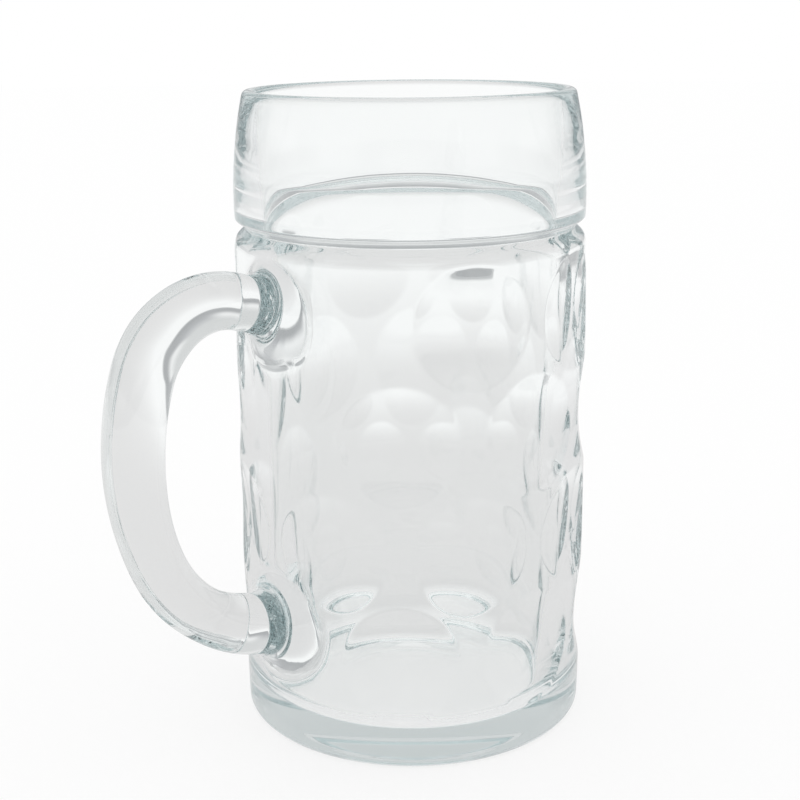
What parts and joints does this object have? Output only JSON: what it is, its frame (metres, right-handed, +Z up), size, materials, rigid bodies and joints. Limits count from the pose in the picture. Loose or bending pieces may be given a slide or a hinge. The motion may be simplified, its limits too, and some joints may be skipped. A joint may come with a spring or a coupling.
{
  "type": "dimpled glass beer mug",
  "caption": "Heavy glass beer mug with round dimples pressed into its barrel body, a plain collar and a welded glass rod handle.",
  "frame": {"origin": "centre of the foot's flat ring, on the axis of the mug, at table height", "axes": "+Z up along the axis of the mug, -X towards the handle, Y across the handle's plane"},
  "size_m": [0.1672, 0.1112, 0.2],
  "materials": {
    "pressed_glass": "clear, fire-polished, faint green-grey in thick places",
    "rod_glass": "clear, fire-polished, faint green-grey in thick places"
  },
  "bodies": {
    "root": {"body": "pressed_glass", "handle": "rod_glass"}
  },
  "joints": []
}
